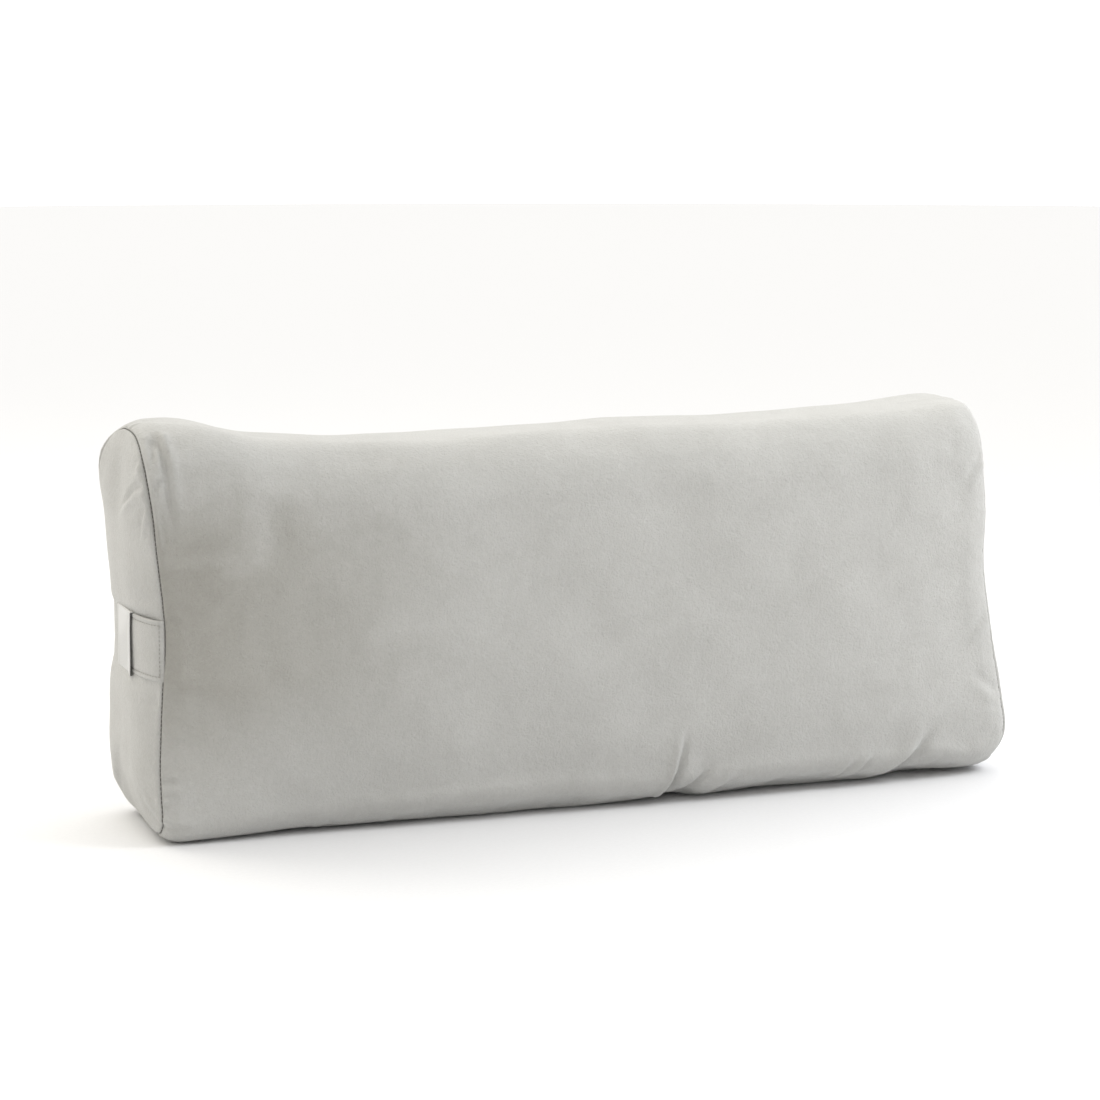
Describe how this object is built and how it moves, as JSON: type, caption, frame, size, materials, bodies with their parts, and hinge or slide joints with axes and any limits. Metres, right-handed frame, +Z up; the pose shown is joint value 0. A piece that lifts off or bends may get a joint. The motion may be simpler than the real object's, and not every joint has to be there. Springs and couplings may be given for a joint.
{
  "type": "lumbar support cushion",
  "caption": "Rectangular lumbar bolster with a removable zipped microsuede cover, a carry strap on one end and a foam core wrapped in fibre.",
  "frame": {"origin": "middle of the cushion's length and depth, on the face that it stands on", "axes": "+X along the cushion's length, away from the carry strap; +Y to the zipped back face; +Z up, from the standing face to the long top edge"},
  "size_m": [0.6432, 0.1498, 0.284],
  "materials": {
    "cover_suede": "matte",
    "sewing_thread": "matte",
    "woven_label": "satin",
    "zip_tape": "matte",
    "zip_coil": "satin",
    "zip_metal": "satin",
    "care_label": "satin",
    "liner_cotton": "matte",
    "fibre_fill": "matte",
    "foam": "matte"
  },
  "bodies": {
    "cushion": {"cover_wrap": "cover_suede", "left_end_panel": "cover_suede", "right_end_panel": "cover_suede", "left_seam_thread": "sewing_thread", "right_seam_thread": "sewing_thread", "zip_tape_upper": "zip_tape", "zip_tape_lower": "zip_tape", "zip_coil_upper": "zip_coil", "zip_coil_lower": "zip_coil", "zip_topstitching": "sewing_thread", "zip_bar_tacks": "sewing_thread", "care_label": "care_label", "liner_wrap": "liner_cotton", "liner_left_end": "liner_cotton", "liner_right_end": "liner_cotton", "liner_closing_stitch": "sewing_thread", "fibre_wrap": "fibre_fill", "fibre_left_pad": "fibre_fill", "fibre_right_pad": "fibre_fill", "foam_core": "foam"},
    "handle": {"handle_strap": "cover_suede", "handle_topstitching": "sewing_thread", "handle_label": "woven_label"},
    "zip_slider": {"zip_slider": "zip_metal"},
    "zip_pull": {"zip_pull": "zip_metal"}
  },
  "joints": [
    {"name": "handle_lift", "type": "slide", "parent": "cushion", "child": "handle", "axis": [-1, 0, 0], "range_m": [0, 0.022], "stiffness_N_per_m": 400},
    {"name": "zip_slide", "type": "slide", "parent": "cushion", "child": "zip_slider", "axis": [1, 0, 0], "range_m": [-0.439, 0], "deforming": ["zip_coil_upper", "zip_coil_lower"]},
    {"name": "pull_swing", "type": "hinge", "parent": "zip_slider", "child": "zip_pull", "pos_m": [0.2195, 0.06675, 0.047], "axis": [0, 0, -1], "range_deg": [0, 170]}
  ]
}
